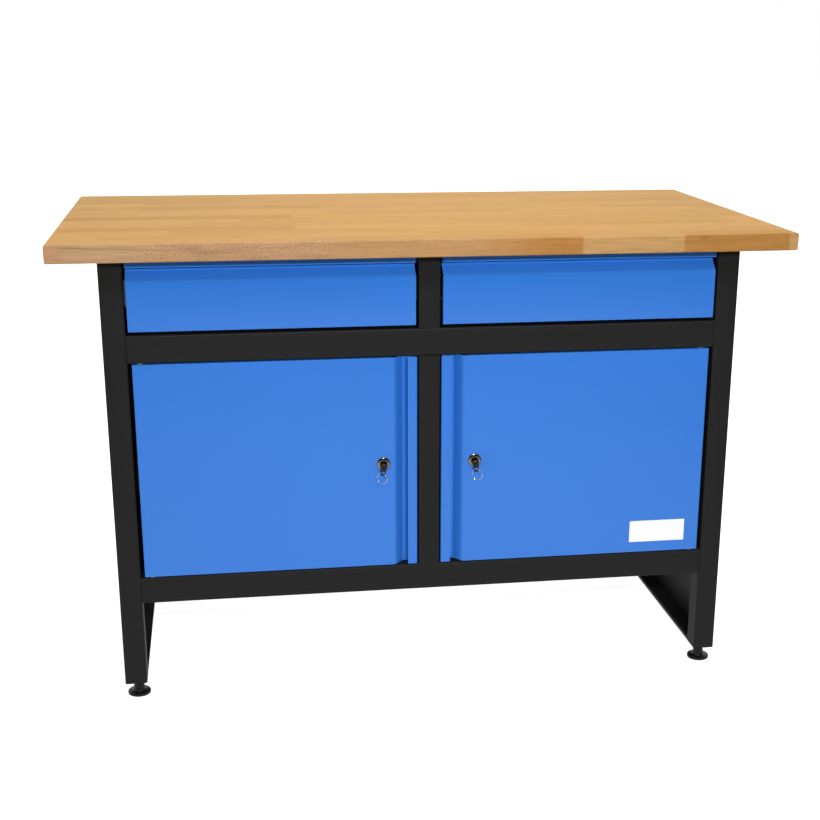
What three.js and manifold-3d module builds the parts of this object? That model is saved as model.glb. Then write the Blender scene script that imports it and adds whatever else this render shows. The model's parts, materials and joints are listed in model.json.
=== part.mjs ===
// Workbench with two drawers and two lockable cabinet doors, in millimetres.
// X runs to the right, Y to the back and Z up; the origin is on the floor under the middle of the top.
import * as THREE from 'three';
import { mergeVertices } from 'three/addons/utils/BufferGeometryUtils.js';
import Module from 'manifold-3d';

// Overall
const benchHeight = 830;
const topWidth = 1258;
const topDepth = 690;
const topThickness = 30;
const topEdgeRound = 3;
const topOverhang = 75;

// Steel frame
const frameSheet = 1.5;
const bendRadius = 1.5;
const footHeight = 27;
const legFace = 39;
const legReturn = 40;
const flangeLip = 7;
const railHeight = 48;
const railDepth = 36;
const postFace = 38;
const postLip = 8;
const drawerSpace = 134;
const doorSpace = 388;
const topRailHeight = 25;
const topRailDepth = 30;
const floorFlange = 20;
const backFlange = 20;

// Painted fronts: a sheet folded back into a finger grip and forward again into a lip
const panelSheet = 1.2;
const doorGripLip = 17;
const drawerGripLip = 17.5;
const gripMouth = 23;
const gripDepth = 19;
const gripSlopeRun = 15;
const gripBend = 7;
const gripBackBend = 3;
const edgeReturn = 12;
const foldBend = 1;

// Drawers and their telescopic slides
const drawerSideGap = 4.8;
const drawerBottomGap = 5.5;
const drawerTopGap = 2.5;
const boxTopGap = 6;
const boxBottomGap = 4;
const boxRim = 8;
const boxRearGap = 43;
const slideHeight = 45.6;
const slideThickness = 12.7;
const slideSheet = 1.2;
const slideGap = 0.5;
const slideBend = 1;
const slideDrop = 13;
const slideSetback = 6;
const slideRearGap = 33;

// Doors on pins
const doorFreeGap = 2.4;
const doorEdgeGap = 2.2;
const doorSwingGap = 4;
const pinInset = 14;
const pinRadius = 4;
const pinShoulder = 7;
const pinReach = 10;

// Cam lock and folding key
const lockOffset = 20.5;
const lockFlangeRadius = 12.3;
const lockFlange = 2.6;
const lockFlangeChamfer = 1;
const barrelRadius = 9.3;
const barrelLength = 25;
const lockNutAcross = 23;
const lockNutHeight = 5;
const plugRadius = 6.5;
const plugProud = 0.8;
const tailSize = 6;
const camSheet = 2;
const camWidth = 14;
const camBehind = 9;
const camFlat = 14;
const camCrank = 12;
const camReach = 6;
const camGap = 1.5;
const screwRadius = 1.8;
const screwLength = 9;
const screwHeadRadius = 5;
const screwHead = 2.4;
const bladeWidth = 7.2;
const bladeThick = 2;
const bladeLength = 18;
const keyPivotOut = 6.2;
const keyPivotRadius = 2.4;
const keyPinRadius = 0.7;
const neckWidth = 2.6;
const neckHeight = 3.2;
const bowThick = 1.8;
const bowTopWidth = 12;
const bowEndWidth = 8.8;
const bowLength = 18.5;
const bowEndBar = 2.5;
const bowSlotWidth = 6.7;
const bowSlotHeight = 4.4;
const ringRadius = 9.75;
const ringWire = 0.6;
const ringSlack = 0.8;
const ringYaw = -32;
const keyLean = 8;

// Adjustable feet
const footInset = 23;
const padRadius = 20.5;
const padRim = 4.5;
const padEdge = 1.5;
const padShoulder = 6;
const padBossRadius = 7.5;
const padBossFoot = 12;
const padSole = 8;
const studRadius = 5;
const studRise = 45;
const weldNutAcross = 17;
const weldNutHeight = 8;

// Fits
const seam = 0.1;
const runClearance = 0.3;
const weld = 0.3;

// Facets
const roundSides = 28;
const smallSides = 16;
const wireSides = 8;
const bendSteps = 3;

// Places that follow from the sizes above
const halfWidth = topWidth / 2 - topOverhang;
const yFront = topOverhang - topDepth / 2;
const yRear = -yFront;
const topUnder = benchHeight - topThickness;
const legInner = halfWidth - legFace;
const midRailTop = topUnder - drawerSpace;
const midRailBottom = midRailTop - railHeight;
const bottomRailTop = midRailBottom - doorSpace;
const bottomRailBottom = bottomRailTop - railHeight;
const postBack = yFront + railDepth;
const panelDepth = gripDepth + panelSheet;
const panelBack = yFront + panelDepth;
const topRailLow = topUnder - topRailHeight;
const boxTop = topRailLow - boxTopGap;
const slideZ = boxTop - slideDrop - slideHeight / 2;
const slideFront = panelBack + slideSetback;
const slideBack = yRear - slideRearGap;
const pinDepth = panelDepth / 2;
const doorHingeGap = Math.hypot(pinInset, pinDepth) - pinInset + doorSwingGap;
const doorInner = postFace / 2 + doorFreeGap;
const doorOuter = legInner - doorHingeGap;
const doorBottom = bottomRailTop + doorEdgeGap;
const doorTop = midRailBottom - doorEdgeGap;
const pinX = doorOuter - pinInset;
const pinY = yFront + pinDepth;
const lockX = doorInner + doorGripLip + gripMouth + lockOffset;
const lockZ = (doorBottom + doorTop) / 2;
const footX = halfWidth - footInset;
const footY = yRear - legReturn / 2;

// Finishes
const finish = (color, roughness, metalness) => new THREE.MeshStandardMaterial({ color, roughness, metalness });
const wood = finish(0xd2a264, 0.5, 0);
const charcoal = finish(0x2b2b2b, 0.55, 0.2);
const blue = finish(0x3f7fdc, 0.35, 0.1);
const zinc = finish(0xb8bcc0, 0.35, 0.9);
const chrome = finish(0xd8d8d8, 0.12, 1);
const blackPlastic = finish(0x161616, 0.5, 0);

// Solids: joins and cuts work on closed meshes with shared corners
const wasm = await Module();
wasm.setup();

function sharedCorners(geometry) {
  const bare = geometry.clone();
  bare.deleteAttribute('normal');
  bare.deleteAttribute('uv');
  return mergeVertices(bare);
}

function toSolid(geometry) {
  const merged = sharedCorners(geometry);
  const corners = Array.from(merged.index.array);
  const triVerts = [];
  for (let i = 0; i < corners.length; i += 3) {
    const [a, b, c] = corners.slice(i, i + 3);
    if (a !== b && b !== c && c !== a) triVerts.push(a, b, c);
  }
  const vertProperties = new Float32Array(merged.attributes.position.array);
  return new wasm.Manifold(new wasm.Mesh({ numProp: 3, vertProperties, triVerts: new Uint32Array(triVerts) }));
}

function toGeometry(solid) {
  const mesh = solid.getMesh();
  const geometry = new THREE.BufferGeometry();
  geometry.setAttribute('position', new THREE.BufferAttribute(mesh.vertProperties, 3));
  geometry.setIndex(new THREE.BufferAttribute(mesh.triVerts, 1));
  geometry.computeVertexNormals();
  return geometry;
}

function join(first, ...others) {
  return toGeometry(others.reduce((solid, next) => solid.add(toSolid(next)), toSolid(first)));
}

function cut(body, ...tools) {
  return toGeometry(tools.reduce((solid, tool) => solid.subtract(toSolid(tool)), toSolid(body)));
}

// The left-hand copy of a right-hand piece
function mirrored(geometry) {
  const copy = sharedCorners(geometry);
  copy.scale(-1, 1, 1);
  const index = copy.index.array;
  for (let i = 0; i < index.length; i += 3) {
    [index[i + 1], index[i + 2]] = [index[i + 2], index[i + 1]];
  }
  copy.computeVertexNormals();
  return copy;
}

// Basic forms
function box(x, y, z) {
  const geometry = new THREE.BoxGeometry(x[1] - x[0], y[1] - y[0], z[1] - z[0]);
  return geometry.translate((x[0] + x[1]) / 2, (y[0] + y[1]) / 2, (z[0] + z[1]) / 2);
}

function extrude(shape, depth) {
  return new THREE.ExtrudeGeometry(shape, { depth, bevelEnabled: false, curveSegments: roundSides / 2 });
}

// Prisms along X from an outline in (y, z), along Y from (x, z) and along Z from (x, y)
function prismX(shape, from, to) {
  const turn = new THREE.Matrix4().makeBasis(
    new THREE.Vector3(0, 1, 0), new THREE.Vector3(0, 0, 1), new THREE.Vector3(1, 0, 0));
  return extrude(shape, to - from).applyMatrix4(turn).translate(from, 0, 0);
}

function prismY(shape, from, to) {
  const turn = new THREE.Matrix4().makeBasis(
    new THREE.Vector3(1, 0, 0), new THREE.Vector3(0, 0, 1), new THREE.Vector3(0, -1, 0));
  return extrude(shape, to - from).applyMatrix4(turn).translate(0, to, 0);
}

function prismZ(shape, from, to) {
  return extrude(shape, to - from).translate(0, 0, from);
}

function cylinderX(radius, from, to, y, z, sides = smallSides) {
  const geometry = new THREE.CylinderGeometry(radius, radius, to - from, sides).rotateZ(-Math.PI / 2);
  return geometry.translate((from + to) / 2, y, z);
}

function cylinderY(radius, from, to, x = 0, z = 0, sides = roundSides) {
  return new THREE.CylinderGeometry(radius, radius, to - from, sides).translate(x, (from + to) / 2, z);
}

function cylinderZ(radius, from, to, x = 0, y = 0, sides = smallSides) {
  const geometry = new THREE.CylinderGeometry(radius, radius, to - from, sides).rotateX(Math.PI / 2);
  return geometry.translate(x, y, (from + to) / 2);
}

// A body turned about its own axis from (radius, height) points, standing along Y or Z
function turnedY(points, sides = roundSides) {
  return new THREE.LatheGeometry(points.map(([r, h]) => new THREE.Vector2(r, h)), sides);
}

function turnedZ(points, sides = roundSides) {
  return turnedY(points, sides).rotateX(Math.PI / 2);
}

function hexagon(across) {
  const shape = new THREE.Shape();
  const cornerRadius = across / Math.sqrt(3);
  for (let side = 0; side < 6; side += 1) {
    const angle = side * Math.PI / 3;
    shape.lineTo(cornerRadius * Math.cos(angle), cornerRadius * Math.sin(angle));
  }
  shape.curves.shift();
  return shape;
}

// A sheet folded at each corner of a path, seen along the fold lines. The path is the outer face,
// the sheet lies to its left, and a corner may carry its own bend radius as a third value.
function foldedSheet(corners, thickness, bend) {
  const points = corners.map(([u, v]) => new THREE.Vector2(u, v));
  const left = (direction) => new THREE.Vector2(-direction.y, direction.x);
  const heading = (i) => points[i + 1].clone().sub(points[i]).normalize();
  const last = points.length - 1;
  const face = [points[0].clone()];
  const back = [points[0].clone().addScaledVector(left(heading(0)), thickness)];
  for (let i = 1; i < last; i += 1) {
    const before = heading(i - 1);
    const after = heading(i);
    const turn = Math.atan2(before.cross(after), before.dot(after));
    const innerRadius = corners[i][2] ?? bend;
    const faceRadius = turn > 0 ? innerRadius + thickness : innerRadius;
    const backRadius = turn > 0 ? innerRadius : innerRadius + thickness;
    const start = points[i].clone().addScaledVector(before, -faceRadius * Math.tan(Math.abs(turn) / 2));
    const centre = start.clone().addScaledVector(left(before), Math.sign(turn) * faceRadius);
    for (let step = 0; step <= bendSteps; step += 1) {
      const spoke = start.clone().sub(centre).normalize();
      spoke.rotateAround(new THREE.Vector2(), turn * step / bendSteps);
      face.push(centre.clone().addScaledVector(spoke, faceRadius));
      back.push(centre.clone().addScaledVector(spoke, backRadius));
    }
  }
  face.push(points[last].clone());
  back.push(points[last].clone().addScaledVector(left(heading(last - 1)), thickness));
  return [...face, ...back.reverse()];
}

// An outline from sheet points, each placed by a rule from (u, v) to the outline's own axes
function outline(points, place = (u, v) => [u, v]) {
  return new THREE.Shape(points.map((point) => new THREE.Vector2(...place(point.x, point.y))));
}

// The scene graph
const workbench = new THREE.Group();
workbench.name = 'workbench';

function piece(parent, name, geometry, material) {
  const mesh = new THREE.Mesh(geometry, material);
  mesh.name = name;
  parent.add(mesh);
  return mesh;
}

const sides = [['left', -1], ['right', 1]];
const handed = (geometry, side) => (side > 0 ? geometry : mirrored(geometry));

// Worktop with rounded edges
function worktopBoard() {
  const x = topWidth / 2 - topEdgeRound;
  const y = topDepth / 2 - topEdgeRound;
  const shape = new THREE.Shape();
  shape.moveTo(-x, -y).lineTo(x, -y).lineTo(x, y).lineTo(-x, y).closePath();
  const board = new THREE.ExtrudeGeometry(shape, {
    depth: topThickness - 2 * topEdgeRound,
    bevelThickness: topEdgeRound,
    bevelSize: topEdgeRound,
    bevelSegments: bendSteps,
  });
  return board.translate(0, 0, topUnder + topEdgeRound);
}

// Side panel: outer wall folded into both legs, a flange with a lip at its foot and its head
function sidePanel() {
  const top = topUnder - seam;
  const wall = prismZ(outline(foldedSheet([
    [legInner, yFront + legReturn],
    [legInner, yFront],
    [halfWidth, yFront],
    [halfWidth, yRear],
    [legInner, yRear],
    [legInner, yRear - legReturn],
  ], frameSheet, bendRadius)), footHeight, top);
  const plateX = [legInner + frameSheet - weld, halfWidth - frameSheet + weld];
  const plateY = [yFront + frameSheet - weld, yRear - frameSheet + weld];
  const lipX = [legInner + weld, legInner + frameSheet];
  const floorZ = footHeight + weld;
  const headZ = top - weld;
  const lipY = [yFront + legReturn - weld, yRear - legReturn + weld];
  const nuts = [];
  const bores = [];
  for (const y of [-footY, footY]) {
    const nutBase = footHeight + frameSheet - weld;
    const nutTop = footHeight + frameSheet + weldNutHeight;
    nuts.push(prismZ(hexagon(weldNutAcross), nutBase, nutTop).translate(footX, y, 0));
    bores.push(cylinderZ(studRadius + runClearance, 0, nutTop + weldNutHeight, footX, y));
  }
  const body = join(wall,
    box(plateX, plateY, [floorZ, footHeight + frameSheet]),
    box(lipX, lipY, [floorZ, footHeight + flangeLip]),
    box(plateX, plateY, [top - frameSheet, headZ]),
    box(lipX, lipY, [top - flangeLip, headZ]),
    ...nuts);
  return cut(body, ...bores);
}

// Channel rail across the bench, open to the inside; facing is -1 at the front and 1 at the back
function railChannel(bottom, facing) {
  const faceY = facing * yRear;
  const profile = foldedSheet([
    [railDepth, railHeight],
    [0, railHeight],
    [0, 0],
    [railDepth, 0],
  ], frameSheet, bendRadius);
  const shape = outline(profile, (u, v) => [faceY - facing * u, bottom + v]);
  return prismX(shape, seam - legInner, legInner - seam);
}

function pinHoles(z) {
  const reach = 2 * frameSheet;
  return sides.map(([, side]) => cylinderZ(pinRadius + runClearance, z - reach, z + reach, side * pinX, pinY));
}

function topFrontRail() {
  const front = postBack + seam;
  const top = topUnder - seam;
  const profile = foldedSheet([
    [front + topRailDepth, top],
    [front, top],
    [front, topRailLow],
  ], frameSheet, bendRadius);
  return prismX(outline(profile), seam - legInner, legInner - seam);
}

function centrePost(from, to) {
  const half = postFace / 2;
  const profile = foldedSheet([
    [postLip - half, postBack],
    [-half, postBack],
    [-half, yFront],
    [half, yFront],
    [half, postBack],
    [half - postLip, postBack],
  ], frameSheet, bendRadius);
  return prismZ(outline(profile), from + seam, to - seam);
}

// Channel between the upper post and the back panel that carries the two middle slides
function drawerDivider() {
  const half = postFace / 2;
  const low = slideZ - slideHeight / 2 - slideDrop;
  const profile = foldedSheet([[-half, boxTop], [-half, low], [half, low], [half, boxTop]], frameSheet, bendRadius);
  return prismY(outline(profile), postBack + seam, yRear - panelSheet - seam);
}

function backPanel() {
  const low = bottomRailTop + seam;
  const high = topUnder - seam;
  const profile = foldedSheet([
    [yRear - backFlange, low],
    [yRear, low],
    [yRear, high],
    [yRear - backFlange, high],
  ], panelSheet, bendRadius);
  return prismX(outline(profile), seam - legInner, legInner - seam);
}

// Cabinet floor between the bottom rails, with wings that reach the outer walls
function cabinetFloor() {
  const front = postBack + seam;
  const back = yRear - railDepth - seam;
  const profile = foldedSheet([
    [back, bottomRailTop - floorFlange],
    [back, bottomRailTop],
    [front, bottomRailTop],
    [front, bottomRailTop - floorFlange],
  ], frameSheet, bendRadius);
  const pan = prismX(outline(profile), seam - legInner, legInner - seam);
  const wingX = [legInner - 2 * bendRadius, halfWidth - frameSheet - seam];
  const wingY = [yFront + legReturn + seam, yRear - legReturn - seam];
  const wing = box(wingX, wingY, [bottomRailTop - frameSheet, bottomRailTop]);
  return join(pan, wing, mirrored(wing));
}

const frame = new THREE.Group();
frame.name = 'frame';
workbench.add(frame);
piece(frame, 'worktop', worktopBoard(), wood);
const panel = sidePanel();
for (const [hand, side] of sides) piece(frame, `side_panel_${hand}`, handed(panel, side), charcoal);
piece(frame, 'middle_rail', cut(railChannel(midRailBottom, -1), ...pinHoles(midRailBottom)), charcoal);
piece(frame, 'bottom_front_rail', cut(railChannel(bottomRailBottom, -1), ...pinHoles(bottomRailTop)), charcoal);
piece(frame, 'bottom_rear_rail', railChannel(bottomRailBottom, 1), charcoal);
piece(frame, 'top_front_rail', topFrontRail(), charcoal);
piece(frame, 'upper_centre_post', centrePost(midRailTop, topUnder), charcoal);
piece(frame, 'lower_centre_post', centrePost(bottomRailTop, midRailBottom), charcoal);
piece(frame, 'drawer_divider', drawerDivider(), charcoal);
piece(frame, 'back_panel', backPanel(), charcoal);
piece(frame, 'cabinet_floor', cabinetFloor(), charcoal);

// A front with its folded grip: u runs from the plain edge to the lip, v runs back from the face
function gripSheet(length, lip) {
  const faceEnd = length - lip - gripMouth;
  return foldedSheet([
    [edgeReturn, panelDepth],
    [0, panelDepth],
    [0, 0],
    [faceEnd, 0, gripBend],
    [faceEnd + gripSlopeRun, gripDepth, gripBackBend],
    [length - panelSheet, gripDepth],
    [length - panelSheet, panelSheet],
    [length - lip, panelSheet],
  ], panelSheet, foldBend);
}

// Flat end flanges stop where the face turns into the grip
const flangeEnd = (length, lip) => length - lip - gripMouth - gripBend / 2;
const flangeDepth = [yFront + panelSheet - weld, panelBack];

// Slide members, nested with a running gap: a is the distance from the carrier, b the height
const memberStep = slideSheet + slideGap;
const memberLip = slideThickness - slideSheet - slideGap;

function channelMember(step) {
  const half = slideHeight / 2 - step * memberStep;
  const web = step * memberStep;
  return [[memberLip, half], [web, half], [web, -half], [memberLip, -half]];
}

function drawerMember() {
  const half = slideHeight / 2 - 2 * memberStep;
  const near = 2 * memberStep + slideGap;
  return [[near, -half], [slideThickness, -half], [slideThickness, half], [near, half]];
}

const slideMembers = [
  ['outer', channelMember(0)],
  ['middle', channelMember(1)],
  ['inner', drawerMember()],
];

function slideProfile(corners, carrier, facing) {
  const profile = foldedSheet(corners, slideSheet, slideBend);
  return outline(profile, (a, b) => [carrier + facing * (a + seam), slideZ + b]);
}

// The right drawer: its front, its box, and a slide at the leg and at the divider
const carriers = [['leg', legInner, -1], ['divider', postFace / 2, 1]];
const boxInset = slideThickness + 2 * seam;

function drawerFront() {
  const left = postFace / 2 + drawerSideGap;
  const right = legInner - drawerSideGap;
  const low = midRailTop + drawerBottomGap;
  const length = topUnder - drawerTopGap - low;
  const profile = gripSheet(length, drawerGripLip);
  const sheet = prismX(outline(profile, (u, v) => [yFront + v, low + u]), left, right);
  const flangeZ = [low + panelSheet - weld, low + flangeEnd(length, drawerGripLip)];
  return join(sheet,
    box([left, left + panelSheet], flangeDepth, flangeZ),
    box([right - panelSheet, right], flangeDepth, flangeZ));
}

function drawerBox() {
  const left = postFace / 2 + boxInset;
  const right = legInner - boxInset;
  const low = midRailTop + drawerBottomGap + boxBottomGap;
  const front = panelBack + seam;
  const back = yRear - boxRearGap;
  const profile = foldedSheet([
    [left + boxRim, boxTop],
    [left, boxTop],
    [left, low],
    [right, low],
    [right, boxTop],
    [right - boxRim, boxTop],
  ], panelSheet, bendRadius);
  const wallX = [left + panelSheet - weld, right - panelSheet + weld];
  const wallZ = [low + panelSheet - weld, boxTop - panelSheet + weld];
  return join(prismY(outline(profile), front, back),
    box(wallX, [front, front + panelSheet], wallZ),
    box(wallX, [back - panelSheet, back], wallZ));
}

for (const [hand, side] of sides) {
  const drawer = new THREE.Group();
  drawer.name = `drawer_${hand}`;
  workbench.add(drawer);
  piece(drawer, `drawer_${hand}_front`, handed(drawerFront(), side), blue);
  piece(drawer, `drawer_${hand}_box`, handed(drawerBox(), side), blue);
  for (const [place, carrier, facing] of carriers) {
    for (const [member, corners] of slideMembers) {
      const geometry = prismY(slideProfile(corners, carrier, facing), slideFront, slideBack);
      piece(drawer, `slide_${hand}_${place}_${member}`, handed(geometry, side), zinc);
    }
  }
}

// The right door: a folded pan that hangs on two pins at its outer edge
function doorPanel() {
  const length = doorOuter - doorInner;
  const profile = gripSheet(length, doorGripLip);
  const sheet = prismZ(outline(profile, (u, v) => [doorOuter - u, yFront + v]), doorBottom, doorTop);
  const flangeX = [doorOuter - flangeEnd(length, doorGripLip), doorOuter - panelSheet + weld];
  const pan = join(sheet,
    box(flangeX, flangeDepth, [doorBottom, doorBottom + panelSheet]),
    box(flangeX, flangeDepth, [doorTop - panelSheet, doorTop]));
  const lockHole = cylinderY(barrelRadius + runClearance, yFront - panelSheet, yFront + 2 * panelSheet, lockX, lockZ);
  return cut(pan,
    cylinderZ(pinRadius + runClearance, doorBottom - panelSheet, doorBottom + 2 * panelSheet, pinX, pinY),
    cylinderZ(pinRadius + runClearance, doorTop - 2 * panelSheet, doorTop + panelSheet, pinX, pinY),
    lockHole);
}

// A pin with a shoulder that spaces the door from the rail, standing on the rail's face at height 0
function hingePin() {
  const tail = -frameSheet - pinReach;
  const shoulderTop = doorEdgeGap - seam;
  return turnedZ([
    [0, tail],
    [pinRadius, tail],
    [pinRadius, seam],
    [pinShoulder, seam],
    [pinShoulder, shoulderTop],
    [pinRadius, shoulderTop],
    [pinRadius, doorEdgeGap + pinReach],
    [0, doorEdgeGap + pinReach],
  ], smallSides);
}

// Lock pieces, with the lock's axis along Y and the door's face at y = 0
const boreRadius = plugRadius + runClearance;
const plugFront = -lockFlange - plugProud;
const plugBack = barrelLength + runClearance;
const camFront = plugBack + runClearance;
const camBack = camFront + camSheet;
const tailEnd = camBack + runClearance;

function lockHousing() {
  return turnedY([
    [boreRadius, -lockFlange],
    [lockFlangeRadius - lockFlangeChamfer, -lockFlange],
    [lockFlangeRadius, lockFlangeChamfer - lockFlange],
    [lockFlangeRadius, -seam],
    [barrelRadius, -seam],
    [barrelRadius, barrelLength],
    [boreRadius, barrelLength],
    [boreRadius, -lockFlange],
  ]);
}

function lockNut() {
  const front = panelSheet + seam;
  const nut = prismY(hexagon(lockNutAcross), front, front + lockNutHeight);
  return cut(nut, cylinderY(barrelRadius + runClearance, 0, barrelLength));
}

function lockPlug() {
  const half = tailSize / 2;
  const slotX = bladeWidth / 2 + runClearance;
  const slotZ = bladeThick / 2 + runClearance;
  const slotEnd = plugFront + bladeLength + runClearance;
  const body = join(cylinderY(plugRadius, plugFront, plugBack),
    box([-half, half], [plugBack - weld, tailEnd], [-half, half]));
  return cut(body,
    box([-slotX, slotX], [plugFront - weld, slotEnd], [-slotZ, slotZ]),
    cylinderY(screwRadius + runClearance, tailEnd - screwLength - runClearance, tailEnd + weld, 0, 0, smallSides));
}

// The cam hangs from the plug's square tail and is cranked back to pass behind the centre post
function lockCam() {
  const length = lockX - postFace / 2 + camReach;
  const farFront = railDepth + camGap;
  const profile = foldedSheet([
    [-camBehind, camFront],
    [camFlat, camFront],
    [camFlat + camCrank, farFront],
    [length, farFront],
  ], camSheet, bendRadius);
  const strip = prismX(outline(profile, (r, y) => [y, -r]), -camWidth / 2, camWidth / 2);
  const half = tailSize / 2 + runClearance;
  return cut(strip, box([-half, half], [camFront - weld, camBack + weld], [-half, half]));
}

function camScrew() {
  const seat = tailEnd + seam;
  return turnedY([
    [0, tailEnd - screwLength],
    [screwRadius, tailEnd - screwLength],
    [screwRadius, seat],
    [screwHeadRadius, seat],
    [screwHeadRadius, seat + screwHead / 2],
    [screwHeadRadius - screwHead / 2, seat + screwHead],
    [0, seat + screwHead],
  ], smallSides);
}

const pivotY = plugFront - keyPivotOut;

function keyShank() {
  const blade = bladeWidth / 2;
  const neck = neckWidth / 2;
  const neckEnd = plugFront - runClearance;
  const eyeReach = bowTopWidth / 2 - runClearance;
  return join(
    box([-blade, blade], [neckEnd - weld, plugFront + bladeLength], [-bladeThick / 2, bladeThick / 2]),
    box([-neck, neck], [pivotY, neckEnd], [-neckHeight / 2, neckHeight / 2]),
    cylinderX(keyPivotRadius, -neck, neck, pivotY, 0),
    cylinderX(keyPinRadius, -eyeReach, eyeReach, pivotY, 0, wireSides));
}

// Folding bow: a tapered plate with a forked hinge at its top and a slot for the ring at its end
function keyBow() {
  const top = bowTopWidth / 2;
  const end = bowEndWidth / 2;
  const plate = new THREE.Shape();
  plate.moveTo(-top, 0).lineTo(-end, bowEndBar - bowLength);
  plate.quadraticCurveTo(-end, -bowLength, bowEndBar - end, -bowLength);
  plate.lineTo(end - bowEndBar, -bowLength);
  plate.quadraticCurveTo(end, -bowLength, end, bowEndBar - bowLength);
  plate.lineTo(top, 0);
  const slotLow = bowEndBar - bowLength;
  const slot = bowSlotWidth / 2;
  const fork = neckWidth / 2 + runClearance;
  const forkDepth = keyPivotRadius + 2 * runClearance;
  const body = join(
    prismY(plate, pivotY - bowThick / 2, pivotY + bowThick / 2),
    cylinderX(keyPivotRadius, -top, top, pivotY, 0));
  return cut(body,
    box([-fork, fork], [pivotY - 2 * forkDepth, pivotY + 2 * forkDepth], [-forkDepth, forkDepth]),
    box([-slot, slot], [pivotY - bowThick, pivotY + bowThick], [slotLow, slotLow + bowSlotHeight]),
    cylinderX(keyPinRadius + runClearance, -bowTopWidth, bowTopWidth, pivotY, 0, wireSides));
}

// Wire ring through the bow's slot, resting over its end bar
function keyRing() {
  const wireTop = bowEndBar - bowLength + ringWire + ringSlack;
  const ring = new THREE.TorusGeometry(ringRadius, ringWire, wireSides, roundSides);
  ring.rotateZ(Math.PI / 2).rotateX(Math.PI / 2).rotateZ(THREE.MathUtils.degToRad(ringYaw));
  return ring.translate(0, pivotY, wireTop - ringRadius);
}

for (const [hand, side] of sides) {
  const door = new THREE.Group();
  door.name = `door_${hand}`;
  workbench.add(door);
  piece(door, `door_${hand}_panel`, handed(doorPanel(), side), blue);
  const lowerPin = piece(door, `door_${hand}_lower_pin`, hingePin(), zinc);
  lowerPin.position.set(side * pinX, pinY, bottomRailTop);
  const upperPin = piece(door, `door_${hand}_upper_pin`, hingePin(), zinc);
  upperPin.position.set(side * pinX, pinY, midRailBottom);
  upperPin.rotation.x = Math.PI;

  const lock = new THREE.Group();
  lock.name = `lock_${hand}`;
  lock.position.set(side * lockX, yFront, lockZ);
  door.add(lock);
  piece(lock, `lock_${hand}_housing`, lockHousing(), chrome);
  piece(lock, `lock_${hand}_nut`, lockNut(), zinc);

  const turning = new THREE.Group();
  turning.rotation.y = THREE.MathUtils.degToRad(-side * keyLean);
  lock.add(turning);
  piece(turning, `lock_${hand}_plug`, lockPlug(), chrome);
  piece(turning, `lock_${hand}_cam`, lockCam(), zinc);
  piece(turning, `lock_${hand}_cam_screw`, camScrew(), zinc);
  piece(turning, `key_${hand}_shank`, keyShank(), chrome);
  piece(turning, `key_${hand}_bow`, keyBow(), blackPlastic);
  piece(turning, `key_${hand}_ring`, keyRing(), chrome);
}

// Adjustable feet: a pad with a boss, on a stud in the nut of the side panel
function footPad() {
  const bossTop = footHeight - runClearance;
  return turnedZ([
    [0, 0],
    [padRadius - padEdge, 0],
    [padRadius, padEdge],
    [padRadius, padRim],
    [padRadius - padEdge, padShoulder],
    [padBossFoot, padShoulder + padEdge / 2],
    [padBossRadius, bossTop],
    [studRadius + runClearance, bossTop],
    [studRadius + runClearance, padSole],
    [0, padSole],
  ]);
}

function footStud() {
  const low = padSole + seam;
  const high = footHeight + studRise;
  const chamfer = studRadius / 5;
  return turnedZ([
    [0, low],
    [studRadius, low],
    [studRadius, high - chamfer],
    [studRadius - chamfer, high],
    [0, high],
  ], smallSides);
}

for (const [end, y] of [['front', -footY], ['rear', footY]]) {
  for (const [hand, side] of sides) {
    const foot = new THREE.Group();
    foot.name = `foot_${end}_${hand}`;
    foot.position.set(side * footX, y, 0);
    workbench.add(foot);
    piece(foot, `foot_${end}_${hand}_pad`, footPad(), blackPlastic);
    piece(foot, `foot_${end}_${hand}_stud`, footStud(), zinc);
  }
}

export default workbench;
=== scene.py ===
import json
import math

import bmesh
import bpy
from mathutils import Matrix, Vector


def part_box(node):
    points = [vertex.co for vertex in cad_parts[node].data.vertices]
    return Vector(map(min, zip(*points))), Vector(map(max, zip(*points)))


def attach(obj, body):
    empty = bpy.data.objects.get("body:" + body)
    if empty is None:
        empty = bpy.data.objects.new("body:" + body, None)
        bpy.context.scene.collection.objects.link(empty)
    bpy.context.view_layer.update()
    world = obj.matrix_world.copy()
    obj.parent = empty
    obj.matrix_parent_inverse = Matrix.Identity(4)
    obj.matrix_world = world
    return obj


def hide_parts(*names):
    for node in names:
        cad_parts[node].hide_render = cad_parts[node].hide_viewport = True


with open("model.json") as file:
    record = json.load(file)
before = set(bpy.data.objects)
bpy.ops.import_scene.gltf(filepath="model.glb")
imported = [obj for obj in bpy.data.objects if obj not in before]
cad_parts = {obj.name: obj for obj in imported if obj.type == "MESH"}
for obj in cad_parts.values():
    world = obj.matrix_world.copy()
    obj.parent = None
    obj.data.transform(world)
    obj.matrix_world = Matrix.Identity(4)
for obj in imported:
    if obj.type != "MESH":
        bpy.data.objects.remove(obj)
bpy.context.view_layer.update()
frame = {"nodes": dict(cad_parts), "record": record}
nodes = frame["nodes"]
bodies = frame["record"]["behaviour"]["bodies"]
bodyOf = {node: body for body, members in bodies.items() for node in members}
slotOf = {entry["node"]: entry["material_slot"] for entry in frame["record"]["subparts"]}
hands = ("left", "right")
print("frame loaded:", len(nodes), "nodes")


# small helpers for shader nodes
def addNode(tree, kind, inputs=None, **settings):
    node = tree.nodes.new(kind)
    for key, value in settings.items():
        setattr(node, key, value)
    for key, value in (inputs or {}).items():
        if isinstance(value, bpy.types.NodeSocket):
            tree.links.new(value, node.inputs[key])
        else:
            node.inputs[key].default_value = value
    return node


def calc(tree, operation, *values):
    return addNode(tree, "ShaderNodeMath", dict(enumerate(values)), operation=operation).outputs[0]


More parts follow.
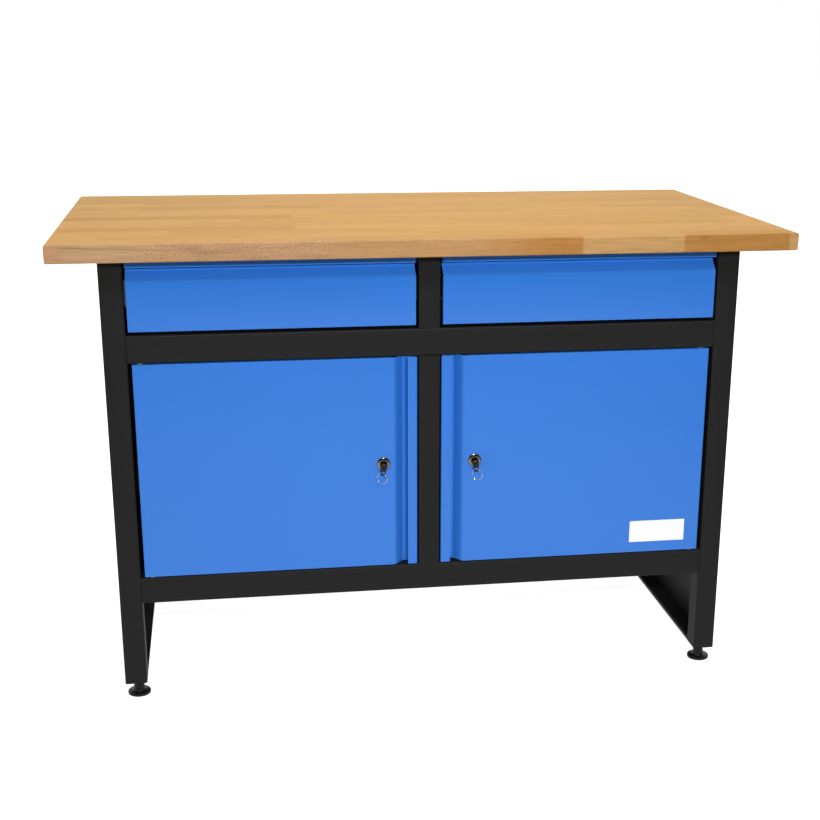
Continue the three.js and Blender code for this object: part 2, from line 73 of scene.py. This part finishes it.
def product(tree, result, *factors):
    for factor in factors:
        result = calc(tree, "MULTIPLY", result, factor)
    return result


def mixValue(tree, factor, a, b):
    return addNode(tree, "ShaderNodeMix", {0: factor, 2: a, 3: b}, data_type="FLOAT").outputs[0]


def mixColor(tree, factor, a, b, blend="MIX"):
    mix = addNode(tree, "ShaderNodeMix", {0: factor, 6: a, 7: b}, data_type="RGBA", blend_type=blend)
    return mix.outputs[2]


def grayOf(tree, level):
    return addNode(tree, "ShaderNodeCombineColor", {0: level, 1: level, 2: level}).outputs[0]


def splitAxes(tree, vector):
    return addNode(tree, "ShaderNodeSeparateXYZ", {0: vector}).outputs


def remap(tree, value, low, high, toLow, toHigh):
    inputs = {"Value": value, "From Min": low, "From Max": high, "To Min": toLow, "To Max": toHigh}
    return addNode(tree, "ShaderNodeMapRange", inputs).outputs[0]


def noise(tree, place, scale, detail=2.0, roughness=0.5):
    inputs = {"Vector": place, "Scale": scale, "Detail": detail, "Roughness": roughness}
    return addNode(tree, "ShaderNodeTexNoise", inputs).outputs[0]


def stretched(tree, place, scale):
    return addNode(tree, "ShaderNodeMapping", {"Vector": place, "Scale": scale}).outputs[0]


def ramp(tree, value, stops):
    node = addNode(tree, "ShaderNodeValToRGB", {"Fac": value})
    elements = node.color_ramp.elements
    while len(elements) < len(stops):
        elements.new(0.5)
    for element, (position, color) in zip(elements, stops):
        element.position = position
        element.color = (*color, 1)
    return node.outputs[0]


def levelRamp(tree, value, stops):
    return ramp(tree, value, [(at, (level, level, level)) for at, level in stops])


def newGroup(name, inputs, outputs):
    group = bpy.data.node_groups.new(name, "ShaderNodeTree")
    for label, kind, value in inputs:
        socket = group.interface.new_socket(label, in_out="INPUT", socket_type=kind)
        socket.default_value = value
    for label, kind in outputs:
        group.interface.new_socket(label, in_out="OUTPUT", socket_type=kind)
    entry = group.nodes.new("NodeGroupInput")
    result = group.nodes.new("NodeGroupOutput")
    return group, entry.outputs, result.inputs


def newMaterial(name, **values):
    material = bpy.data.materials.new(name)
    material.use_nodes = True
    tree = material.node_tree
    shader = tree.nodes["Principled BSDF"]
    for key, value in values.items():
        shader.inputs[key].default_value = value
    place = addNode(tree, "ShaderNodeTexCoord").outputs["Object"]
    return material, tree, shader, place


def addBump(tree, shader, height, strength, distance):
    bump = addNode(tree, "ShaderNodeBump", {"Height": height, "Strength": strength, "Distance": distance})
    tree.links.new(bump.outputs[0], shader.inputs["Normal"])


# camera, at the place solved from the bench's straight edges
camera = {
    "place": (-0.3534, -2.6312, 1.1598),
    "yaw": 9.181,
    "pitch": 17.578,
    "roll": 0.357,
    "lens": 61.56,
    "sensor": 36,
    "shift": (-0.0425, 0.0768),
    "clipEnd": 50,
}


def aimCamera(c):
    yaw, pitch, roll = (math.radians(c[k]) for k in ("yaw", "pitch", "roll"))
    ahead = Vector((math.sin(yaw) * math.cos(pitch), math.cos(yaw) * math.cos(pitch), -math.sin(pitch)))
    right = Vector((math.cos(yaw), -math.sin(yaw), 0))
    up = right.cross(ahead)
    tiltedRight = right * math.cos(roll) + up * math.sin(roll)
    tiltedUp = up * math.cos(roll) - right * math.sin(roll)
    data = bpy.data.cameras.new("benchCamera")
    data.lens = c["lens"]
    data.sensor_width = c["sensor"]
    data.shift_x, data.shift_y = c["shift"]
    data.clip_end = c["clipEnd"]
    cam = bpy.data.objects.new("benchCamera", data)
    turn = Matrix((tiltedRight, tiltedUp, -ahead)).transposed().to_4x4()
    cam.matrix_world = Matrix.Translation(c["place"]) @ turn
    bpy.context.scene.collection.objects.link(cam)
    bpy.context.scene.camera = cam


aimCamera(camera)

# soft studio light: a tent bright overhead, behind and at both ends, dim behind the camera, over a white floor
studio = {
    "skyBehind": 1.0,
    "skyTop": 0.95,
    "skyAcross": [(0.0, 2.2), (0.05, 1.2), (0.12, 0.08), (0.5, 0.04), (0.88, 0.06), (0.95, 0.8), (1.0, 1.3)],
    "tentFold": (-0.2, 0.3),
    "topFocus": 3.0,
    "backdrop": 1.0,
    "floorColor": (0.72, 0.72, 0.716),
    "floorGlow": 0.86,
    "floorRoughness": 0.85,
    "floorCloud": {"size": 3.0, "range": (0.3, 0.7), "level": (0.985, 1.0)},
    "floorFront": (-0.95, -1.5),
    "floorBounce": (0.44, 0.055),
    "floorSheen": 0.63,
    "sheenFront": (-2.3, -3.0),
    "sheenRight": (0.95, 1.2),
    "sheenLeast": 0.13,
    "floorSize": 60,
    "lights": {
        "softKey": {"place": (0.05, -2.66, 1.38), "aim": (0, -0.27, 0.5), "size": (0.9, 0.05), "power": 57,
                    "diffuse": True, "glossy": False},
        "overhead": {"place": (0.1, 0.1, 2.4), "aim": (0.1, 0.1, 0), "size": (0.9, 0.7), "power": 13,
                     "diffuse": True, "glossy": True},
        "glintTop": {"place": (0.15, -2.0, 2.2), "aim": (0, -0.27, 0.42), "size": (0.5, 0.3), "power": 50,
                     "diffuse": False, "glossy": True},
    },
}


def lightStudio(s):
    world = bpy.data.worlds.new("studioWorld")
    bpy.context.scene.world = world
    world.use_nodes = True
    tree = world.node_tree
    background = tree.nodes["Background"].inputs
    axes = splitAxes(tree, addNode(tree, "ShaderNodeTexCoord").outputs["Generated"])
    across = calc(tree, "MULTIPLY_ADD", axes[0], 0.5, 0.5)
    room = levelRamp(tree, across, s["skyAcross"])
    around = remap(tree, axes[1], *s["tentFold"], room, s["skyBehind"])
    height = calc(tree, "POWER", calc(tree, "MAXIMUM", axes[2], 0.0), s["topFocus"])
    tent = mixValue(tree, height, around, s["skyTop"])
    # the backdrop itself is plain white; the tent is only seen by the surfaces it lights
    seen = addNode(tree, "ShaderNodeLightPath").outputs["Is Camera Ray"]
    tree.links.new(mixValue(tree, seen, tent, s["backdrop"]), background["Strength"])
    background["Color"].default_value = (1, 1, 1, 1)
    for name, given in s["lights"].items():
        data = bpy.data.lights.new(name, "AREA")
        data.shape = "RECTANGLE"
        data.size, data.size_y = given["size"]
        data.energy = given["power"]
        lamp = bpy.data.objects.new(name, data)
        lamp.location = given["place"]
        lamp.visible_diffuse = given["diffuse"]
        lamp.visible_glossy = given["glossy"]
        ray = Vector(given["aim"]) - Vector(given["place"])
        lamp.rotation_euler = ray.to_track_quat("-Z", "Y").to_euler()
        bpy.context.scene.collection.objects.link(lamp)
    bpy.context.scene.view_settings.view_transform = "Standard"


lightStudio(studio)
print("camera and light set")

# sprayed and baked powder: fine orange peel, a faint mottle and uneven gloss
powderSkin = {"peelDetail": 2.0, "cloudSize": 6.0, "cloudDetail": 3.0, "glossSpread": 0.12, "peelDepth": 0.0004}


def powderGroup(p):
    group, given, out = newGroup(
        "powderSkin",
        [
            ("Place", "NodeSocketVector", (0, 0, 0)),
            ("Tone", "NodeSocketColor", (0.5, 0.5, 0.5, 1)),
            ("Peel", "NodeSocketFloat", 600),
            ("Mottle", "NodeSocketFloat", 0.06),
            ("Gloss", "NodeSocketFloat", 0.35),
        ],
        [("Color", "NodeSocketColor"), ("Roughness", "NodeSocketFloat"), ("Height", "NodeSocketFloat")],
    )
    peel = noise(group, given["Place"], given["Peel"], p["peelDetail"])
    cloud = noise(group, given["Place"], p["cloudSize"], p["cloudDetail"])
    drift = calc(group, "SUBTRACT", cloud, 0.5)
    shade = calc(group, "MULTIPLY_ADD", drift, given["Mottle"], 1.0)
    color = mixColor(group, 1.0, given["Tone"], grayOf(group, shade), "MULTIPLY")
    group.links.new(color, out["Color"])
    group.links.new(calc(group, "MULTIPLY_ADD", drift, p["glossSpread"], given["Gloss"]), out["Roughness"])
    group.links.new(peel, out["Height"])
    return group


# plated metal: fine drawn lines and a little uneven gloss
drawnSkin = {"lineDetail": 4.0, "lineRoughness": 0.6, "shadeSize": 40.0, "lineDepth": 0.0002}


def drawnGroup(d):
    group, given, out = newGroup(
        "drawnSkin",
        [
            ("Place", "NodeSocketVector", (0, 0, 0)),
            ("Stretch", "NodeSocketVector", (1, 1, 1)),
            ("Gloss", "NodeSocketFloat", 0.3),
            ("Spread", "NodeSocketFloat", 0.2),
        ],
        [("Roughness", "NodeSocketFloat"), ("Height", "NodeSocketFloat"), ("Shade", "NodeSocketFloat")],
    )
    along = stretched(group, given["Place"], given["Stretch"])
    lines = noise(group, along, 1.0, d["lineDetail"], d["lineRoughness"])
    drift = calc(group, "SUBTRACT", lines, 0.5)
    group.links.new(calc(group, "MULTIPLY_ADD", drift, given["Spread"], given["Gloss"]), out["Roughness"])
    group.links.new(lines, out["Height"])
    group.links.new(noise(group, given["Place"], d["shadeSize"]), out["Shade"])
    return group


powder = powderGroup(powderSkin)
drawn = drawnGroup(drawnSkin)


def powderCoat(name, tone, gloss, peel, mottle, bump, specular=0.5):
    material, tree, shader, place = newMaterial(name, **{"Specular IOR Level": specular})
    inputs = {"Place": place, "Tone": (*tone, 1), "Peel": peel, "Mottle": mottle, "Gloss": gloss}
    coat = addNode(tree, "ShaderNodeGroup", inputs, node_tree=powder).outputs
    tree.links.new(coat["Color"], shader.inputs["Base Color"])
    tree.links.new(coat["Roughness"], shader.inputs["Roughness"])
    addBump(tree, shader, coat["Height"], bump, powderSkin["peelDepth"])
    return material


def drawnMetal(name, dark, light, gloss, spread, stretch, bump):
    material, tree, shader, place = newMaterial(name, Metallic=1.0)
    inputs = {"Place": place, "Stretch": stretch, "Gloss": gloss, "Spread": spread}
    skin = addNode(tree, "ShaderNodeGroup", inputs, node_tree=drawn).outputs
    tone = mixColor(tree, skin["Shade"], (*dark, 1), (*light, 1))
    tree.links.new(tone, shader.inputs["Base Color"])
    tree.links.new(skin["Roughness"], shader.inputs["Roughness"])
    addBump(tree, shader, skin["Height"], bump, drawnSkin["lineDepth"])
    return material


# finger-jointed board: staves run along X, each with its own tone and grain
board = {
    "rows": 14,
    "staveLength": (0.24, 0.2),  # shortest, and how much longer at most
    "staveShift": 7.0,
    "finger": 0.007,
    "fingerSlope": 2.4,
    "grainJump": (9, 9, 9),
    "frontJump": (3, 5, 7),
    "frontDepth": (0.0012, 0.0030),
    "frontOnTop": 0.22,
    "specular": 0.08,
    "gloss": {"range": (0.2, 0.8), "roughness": (0.52, 0.68)},
    "bump": (0.25, 0.0003),
    "glueLine": {"half": 0.012, "shade": 0.95},
    "tones": [
        (0.0, (0.498, 0.271, 0.074)),
        (0.3, (0.528, 0.289, 0.084)),
        (0.6, (0.548, 0.304, 0.093)),
        (0.85, (0.519, 0.283, 0.090)),
        (1.0, (0.469, 0.249, 0.071)),
    ],
    "frontTones": {
        "pale": (0.468, 0.286, 0.150),
        "fawn": (0.450, 0.258, 0.134),
        "straw": (0.468, 0.256, 0.109),
        "light": (0.489, 0.282, 0.111),
        "honey": (0.406, 0.191, 0.051),
    },
    "frontStaves": [
        (0.0, "fawn"), (0.02, "fawn"), (0.026, "pale"), (0.10, "pale"), (0.17, "fawn"), (0.335, "fawn"),
        (0.40, "straw"), (0.545, "straw"), (0.65, "honey"), (0.697, "honey"), (0.6995, "light"),
        (0.836, "light"), (0.8375, "honey"), (0.985, "honey"), (0.9865, "light"),
    ],
    "fleckAlong": [(0.10, 0.15), (0.13, 1.0), (0.33, 1.0), (0.44, 0.45), (0.58, 0.2)],
    "ringLine": {"start": -0.6, "end": -0.47, "fade": 0.03, "height": 0.8258, "fall": 0.042, "half": 0.0015,
                 "wander": 0.004, "wanderStretch": (28, 0, 0), "shade": 0.62},
    # stretch of the noise, its detail and roughness, the part of it used, and the shade that gives
    "grain": {
        "broad": ((2.2, 30, 30), 3.0, 0.55, (0.3, 0.72), (0.95, 1.04)),
        "streak": ((7, 190, 190), 4.0, 0.65, (0.25, 0.75), (0.96, 1.04)),
        "pore": ((55, 620, 620), 2.0, 0.5, (0.58, 0.72), (1.0, 0.9)),
        "vein": ((3.2, 95, 95), 2.0, 0.6, (0.62, 0.77), (1.0, 0.85)),
        "dash": ((15, 80, 80), 1.0, 0.5, (0.63, 0.76), (1.0, 0.84)),
        "face": ((24, 300, 300), 3.0, 0.6, (0.3, 0.7), (1.15, 0.89)),
        "fleck": ((270, 580, 580), 1.0, 0.5, (0.38, 0.62), (1.13, 0.81)),
    },
}


def boardMaterial(b):
    material, tree, shader, place = newMaterial("beechBoard", **{"Specular IOR Level": b["specular"]})
    axes = splitAxes(tree, place)
    low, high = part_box("worktop")
    width = high.x - low.x
    # rows across the board, cut into staves whose ends zigzag like glued fingers
    depth = calc(tree, "SUBTRACT", axes[1], low.y)
    across = calc(tree, "DIVIDE", depth, (high.y - low.y) / b["rows"])
    row = calc(tree, "FLOOR", across)
    rowRandom = addNode(tree, "ShaderNodeTexWhiteNoise", {"W": row}, noise_dimensions="1D").outputs
    rowLength = calc(tree, "MULTIPLY_ADD", rowRandom["Value"], b["staveLength"][1], b["staveLength"][0])
    shift = addNode(tree, "ShaderNodeSeparateColor", {0: rowRandom["Color"]}).outputs[1]
    tooth = calc(tree, "PINGPONG", axes[1], b["finger"] / 2)
    start = calc(tree, "ADD", calc(tree, "ADD", axes[0], width), product(tree, tooth, b["fingerSlope"]))
    along = calc(tree, "ADD", calc(tree, "DIVIDE", start, rowLength), product(tree, shift, b["staveShift"]))
    stave = addNode(tree, "ShaderNodeCombineXYZ", {0: row, 1: calc(tree, "FLOOR", along)}).outputs[0]
    dice = addNode(tree, "ShaderNodeTexWhiteNoise", {"Vector": stave}, noise_dimensions="2D").outputs
    tone = ramp(tree, dice["Value"], b["tones"])
    # the front row has its own staves, seen in full on the upright face
    alongFront = calc(tree, "ADD", calc(tree, "DIVIDE", axes[0], width), 0.5)
    frontTone = ramp(tree, alongFront, [(at, b["frontTones"][name]) for at, name in b["frontStaves"]])
    isFront = calc(tree, "LESS_THAN", across, 1.0)
    frontFace = remap(tree, depth, *b["frontDepth"], 1.0, b["frontOnTop"])
    onFace = remap(tree, frontFace, b["frontOnTop"], 1.0, 0.0, 1.0)
    upright = product(tree, isFront, onFace)
    color = mixColor(tree, product(tree, isFront, frontFace), tone, frontTone)
    # grain lines, drawn out along the stave and jumping at each joint
    jump = addNode(tree, "ShaderNodeVectorMath", {0: dice["Color"], 1: b["grainJump"]}, operation="MULTIPLY")
    jumpMix = {0: isFront, 4: jump.outputs[0], 5: b["frontJump"]}
    rowJump = addNode(tree, "ShaderNodeMix", jumpMix, data_type="VECTOR").outputs[1]
    moved = addNode(tree, "ShaderNodeVectorMath", {0: place, 1: rowJump}, operation="ADD").outputs[0]
    waves, shades = {}, {}
    for name, (stretch, detail, roughness, used, given) in b["grain"].items():
        waves[name] = noise(tree, stretched(tree, moved, stretch), 1.0, detail, roughness)
        shades[name] = remap(tree, waves[name], *used, *given)
    shade = product(tree, *(shades[name] for name in ("broad", "streak", "pore", "vein", "dash")))
    # closer grain on the planed front face, and flat-sawn flecks over its left part
    faceShade = mixValue(tree, upright, 1.0, shades["face"])
    flecked = product(tree, upright, levelRamp(tree, alongFront, b["fleckAlong"]))
    fleckShade = mixValue(tree, flecked, 1.0, shades["fleck"])
    # one wandering growth ring near the left end of the front face
    g = b["ringLine"]
    fromStart = calc(tree, "SUBTRACT", axes[0], g["start"])
    sway = noise(tree, stretched(tree, place, g["wanderStretch"]), 1.0)
    lineHeight = calc(tree, "MULTIPLY_ADD", sway, g["wander"], g["height"] - g["wander"] / 2)
    level = calc(tree, "MULTIPLY_ADD", fromStart, g["fall"], axes[2])
    off = calc(tree, "ABSOLUTE", calc(tree, "SUBTRACT", level, lineHeight))
    ringMask = product(
        tree,
        remap(tree, off, 0.0, g["half"], 1.0, 0.0),
        onFace,
        remap(tree, axes[0], g["end"] - g["fade"], g["end"], 1.0, 0.0),
        calc(tree, "GREATER_THAN", fromStart, 0.0),
    )
    ringShade = mixValue(tree, ringMask, 1.0, g["shade"])
    # fine dark glue lines between the rows
    seam = calc(tree, "PINGPONG", across, 0.5)
    seamShade = remap(tree, seam, 0.0, b["glueLine"]["half"], b["glueLine"]["shade"], 1.0)
    gray = grayOf(tree, product(tree, shade, faceShade, ringShade, fleckShade, seamShade))
    tree.links.new(mixColor(tree, 1.0, color, gray, "MULTIPLY"), shader.inputs["Base Color"])
    gloss = b["gloss"]
    rough = remap(tree, waves["streak"], *gloss["range"], *gloss["roughness"])
    tree.links.new(rough, shader.inputs["Roughness"])
    addBump(tree, shader, calc(tree, "ADD", shades["pore"], shades["streak"]), *b["bump"])
    return material


# one finish for each slot of the record, and a few that only the scene uses
finishes = {
    "beech_board": boardMaterial(board),
    "charcoal_paint": powderCoat("charcoalCoat", tone=(0.0122, 0.0122, 0.0122), gloss=0.55, peel=900,
                                 mottle=0.3, bump=0.35, specular=0.14),
    "blue_paint": powderCoat("blueCoat", tone=(0.028, 0.170, 0.605), gloss=0.33, peel=520,
                             mottle=0.05, bump=0.12, specular=0.45),
    "zinc_steel": drawnMetal("zincPlate", dark=(0.34, 0.35, 0.36), light=(0.46, 0.47, 0.48), gloss=0.34,
                             spread=0.25, stretch=(90, 90, 1400), bump=0.1),
    "lock_chrome": drawnMetal("lockChrome", dark=(0.15, 0.145, 0.135), light=(0.23, 0.22, 0.20), gloss=0.07,
                              spread=0.05, stretch=(900, 900, 900), bump=0.02),
    "black_plastic": powderCoat("blackPlastic", tone=(0.007, 0.0068, 0.0066), gloss=0.33, peel=1500,
                                mottle=0.2, bump=0.1, specular=0.25),
}
# near-black metal for the lock plugs and key shanks: painted shade standing in for the dark reflections seen in
# the middle of each lock
lockCoreShade = drawnMetal("lockCoreShade", dark=(0.02, 0.019, 0.018), light=(0.035, 0.033, 0.03), gloss=0.3,
                        spread=0.2, stretch=(700, 700, 700), bump=0.05)
ringSteel = drawnMetal("ringSteel", dark=(0.46, 0.50, 0.52), light=(0.60, 0.65, 0.68), gloss=0.2,
                       spread=0.1, stretch=(500, 500, 500), bump=0.02)
whitePlate = powderCoat("whitePlate", tone=(0.86, 0.86, 0.86), gloss=0.35, peel=1200, mottle=0.02, bump=0.03)


# white floor that glows like a lamp: bright to the eye, its glow mirrored softly in the paint as a painted
# sheen, and sending only a little light back to the bench
def floorMaterial(s):
    material, tree, shader, place = newMaterial(
        "glowingFloor", Roughness=s["floorRoughness"], **{"Emission Strength": s["floorGlow"]})
    axes = splitAxes(tree, place)
    bounce = remap(tree, axes[1], *s["floorFront"], *s["floorBounce"])
    sheenAhead = remap(tree, axes[1], *s["sheenFront"], 1.0, s["sheenLeast"])
    sheenAcross = remap(tree, axes[0], *s["sheenRight"], s["floorSheen"], s["sheenLeast"])
    c = s["floorCloud"]
    cloud = remap(tree, noise(tree, place, c["size"]), *c["range"], *c["level"])
    path = addNode(tree, "ShaderNodeLightPath").outputs
    # painted glow: brighter in reflections near the front, which makes the paint's sheen, and dimmer as light
    # sent back to the bench
    level = mixValue(tree, path["Is Glossy Ray"], bounce, product(tree, sheenAhead, sheenAcross))
    gray = grayOf(tree, mixValue(tree, path["Is Camera Ray"], level, cloud))
    color = mixColor(tree, 1.0, gray, (*s["floorColor"], 1), "MULTIPLY")
    tree.links.new(color, shader.inputs["Base Color"])
    tree.links.new(gray, shader.inputs["Emission Color"])
    return material


glowingFloor = floorMaterial(studio)
print("finishes made:", len({*finishes.values(), lockCoreShade, ringSteel, whitePlate, glowingFloor}))

# every CAD node takes the finish of its slot in the record, except the lock plugs and key shanks, which take a
# near-black metal as painted shade for the dark reflections in each lock's middle
for node, slot in slotOf.items():
    mesh = nodes[node].data
    mesh.materials.clear()
    mesh.materials.append(finishes[slot])
for hand in hands:
    for node in (f"lock_{hand}_plug", f"key_{hand}_shank"):
        nodes[node].data.materials[0] = lockCoreShade


# new pieces
def newPiece(name, bm, slot, body, standsFor=(), finish=None, smoothAngle=35):
    bmesh.ops.recalc_face_normals(bm, faces=bm.faces)
    mesh = bpy.data.meshes.new(name)
    bm.to_mesh(mesh)
    bm.free()
    mesh.polygons.foreach_set("use_smooth", [True] * len(mesh.polygons))
    mesh.set_sharp_from_angle(angle=math.radians(smoothAngle))
    mesh.materials.append(finish or finishes[slot])
    piece = bpy.data.objects.new(name, mesh)
    bpy.context.scene.collection.objects.link(piece)
    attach(piece, body)
    if standsFor:
        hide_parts(*standsFor)
    return piece


# a CAD node's form with its triangles joined into whole faces
joined = {"distance": 1e-6, "flatAngle": 0.5}


def mergedCopy(node):
    bm = bmesh.new()
    bm.from_mesh(nodes[node].data)
    bmesh.ops.remove_doubles(bm, verts=bm.verts, dist=joined["distance"])
    bmesh.ops.dissolve_limit(bm, angle_limit=math.radians(joined["flatAngle"]), verts=bm.verts, edges=bm.edges)
    return bm


def blockBetween(low, high):
    bm = bmesh.new()
    bmesh.ops.create_cube(bm, size=1)
    bmesh.ops.scale(bm, vec=high - low, verts=bm.verts)
    bmesh.ops.translate(bm, vec=(low + high) / 2, verts=bm.verts)
    return bm


def easeEdges(bm, edges, offset, steps):
    bmesh.ops.bevel(bm, geom=edges, offset=offset, segments=steps, profile=0.5, affect="EDGES", material=-1)


# folded sheet pieces keep their CAD form, with the bends shaded round
sheetPieces = [
    "side_panel_left", "side_panel_right", "middle_rail", "bottom_front_rail", "bottom_rear_rail",
    "top_front_rail", "upper_centre_post", "lower_centre_post", "drawer_divider", "back_panel", "cabinet_floor",
    "drawer_left_front", "drawer_right_front", "drawer_left_box", "drawer_right_box",
    "door_left_panel", "door_right_panel",
]
for node in sheetPieces:
    newPiece(node + ".sheet", mergedCopy(node), slotOf[node], bodyOf[node], (node,))
print("folded sheets:", len(sheetPieces))

# worktop with eased edges
worktop = {"round": 0.003, "steps": 5}


def makeWorktop(w):
    bm = blockBetween(*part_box("worktop"))
    easeEdges(bm, bm.edges[:], w["round"], w["steps"])
    newPiece("worktop.board", bm, "beech_board", "frame", ("worktop",))


makeWorktop(worktop)
print("worktop made")


# bodies turned on a lathe: a profile of (radius, height) points spun about an axis
def turnedBody(profile, axis, place, steps, closed=False):
    bm = bmesh.new()
    outward = Vector((1, 0, 0))
    points = [bm.verts.new(Vector(place) + outward * r + Vector(axis) * h) for r, h in profile]
    edges = [bm.edges.new(pair) for pair in zip(points, points[1:])]
    if closed:
        edges.append(bm.edges.new((points[-1], points[0])))
    bmesh.ops.spin(bm, geom=points + edges, cent=place, axis=axis, dvec=(0, 0, 0),
                   angle=math.tau, steps=steps, use_merge=True)
    bmesh.ops.remove_doubles(bm, verts=bm.verts, dist=joined["distance"])
    return bm


# round pad with a waisted boss under each leg
footPad = {
    "profile": [
        (0, 0), (0.0190, 0), (0.0201, 0.0005), (0.0205, 0.0016), (0.0205, 0.0044), (0.0201, 0.0055),
        (0.0190, 0.0060), (0.0155, 0.0063), (0.0124, 0.0068), (0.0112, 0.0080), (0.0104, 0.0110),
        (0.0088, 0.0190), (0.0077, 0.0260), (0.0072, 0.0267), (0.0053, 0.0267), (0.0053, 0.008), (0, 0.008),
    ],
    "steps": 64,
    "smoothAngle": 40,
}
for end in ("front", "rear"):
    for hand in hands:
        node = f"foot_{end}_{hand}_pad"
        low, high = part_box(node)
        place = ((low.x + high.x) / 2, (low.y + high.y) / 2, 0)
        pad = turnedBody(footPad["profile"], (0, 0, 1), place, footPad["steps"])
        newPiece(f"foot.{end}.{hand}.pad", pad, "black_plastic", bodyOf[node], (node,),
                 smoothAngle=footPad["smoothAngle"])
print("foot pads made")

# cam lock face: a domed chrome flange round the plug
lockFace = {
    "profile": [
        (0.0068, -0.0022), (0.0071, -0.0026), (0.0084, -0.00255), (0.0098, -0.0023), (0.0110, -0.0018),
        (0.0118, -0.0011), (0.0123, -0.0004), (0.0123, -0.0001), (0.0093, -0.0001), (0.0093, 0.025),
        (0.0068, 0.025),
    ],
    "flange": 0.0026,
    "steps": 72,
    "smoothAngle": 40,
}
for hand in hands:
    node = f"lock_{hand}_housing"
    low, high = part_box(node)
    place = ((low.x + high.x) / 2, low.y + lockFace["flange"], (low.z + high.z) / 2)
    face = turnedBody(lockFace["profile"], (0, 1, 0), place, lockFace["steps"], closed=True)
    newPiece(f"lock.{hand}.housing", face, "lock_chrome", bodyOf[node], (node,),
             smoothAngle=lockFace["smoothAngle"])
print("lock faces made")

# folding key: a bow with eased edges and a ring of round wire
foldingKey = {"ease": 0.0003, "easeSteps": 2, "easeAngle": 40, "wireLevels": 2, "wireAngle": 80}


def makeKey(k, hand):
    node = f"key_{hand}_bow"
    bm = mergedCopy(node)
    sharp = math.radians(k["easeAngle"])
    corners = [e for e in bm.edges if e.is_manifold and e.calc_face_angle() > sharp]
    easeEdges(bm, corners, k["ease"], k["easeSteps"])
    newPiece(f"key.{hand}.bow", bm, "black_plastic", bodyOf[node], (node,))
    node = f"key_{hand}_ring"
    ring = newPiece(f"key.{hand}.ring", mergedCopy(node), "lock_chrome", bodyOf[node], (node,),
                    ringSteel, k["wireAngle"])
    wire = ring.modifiers.new("roundWire", "SUBSURF")
    wire.levels = wire.render_levels = k["wireLevels"]


for hand in hands:
    makeKey(foldingKey, hand)
print("keys made")

# blank white plate on the right door
plate = {
    "x": (0.3755, 0.4802),
    "z": (0.252, 0.293),
    "thick": 0.0004,
    "standOff": 0.00002,
    "corner": 0.0012,
    "cornerSteps": 4,
}


def makePlate(p):
    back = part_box("door_right_panel")[0].y - p["standOff"]
    bm = blockBetween(Vector((p["x"][0], back - p["thick"], p["z"][0])), Vector((p["x"][1], back, p["z"][1])))
    corners = [e for e in bm.edges if abs((e.verts[0].co - e.verts[1].co).y) > p["thick"] / 2]
    easeEdges(bm, corners, p["corner"], p["cornerSteps"])
    newPiece("blankPlate", bm, None, "door_right", finish=whitePlate)


makePlate(plate)
print("plate made")


# floor
def makeFloor(s):
    bm = bmesh.new()
    bmesh.ops.create_grid(bm, x_segments=1, y_segments=1, size=s["floorSize"] / 2)
    mesh = bpy.data.meshes.new("studioFloor")
    bm.to_mesh(mesh)
    bm.free()
    mesh.materials.append(glowingFloor)
    floor = bpy.data.objects.new("studioFloor", mesh)
    bpy.context.scene.collection.objects.link(floor)


makeFloor(studio)

print("scene ready")
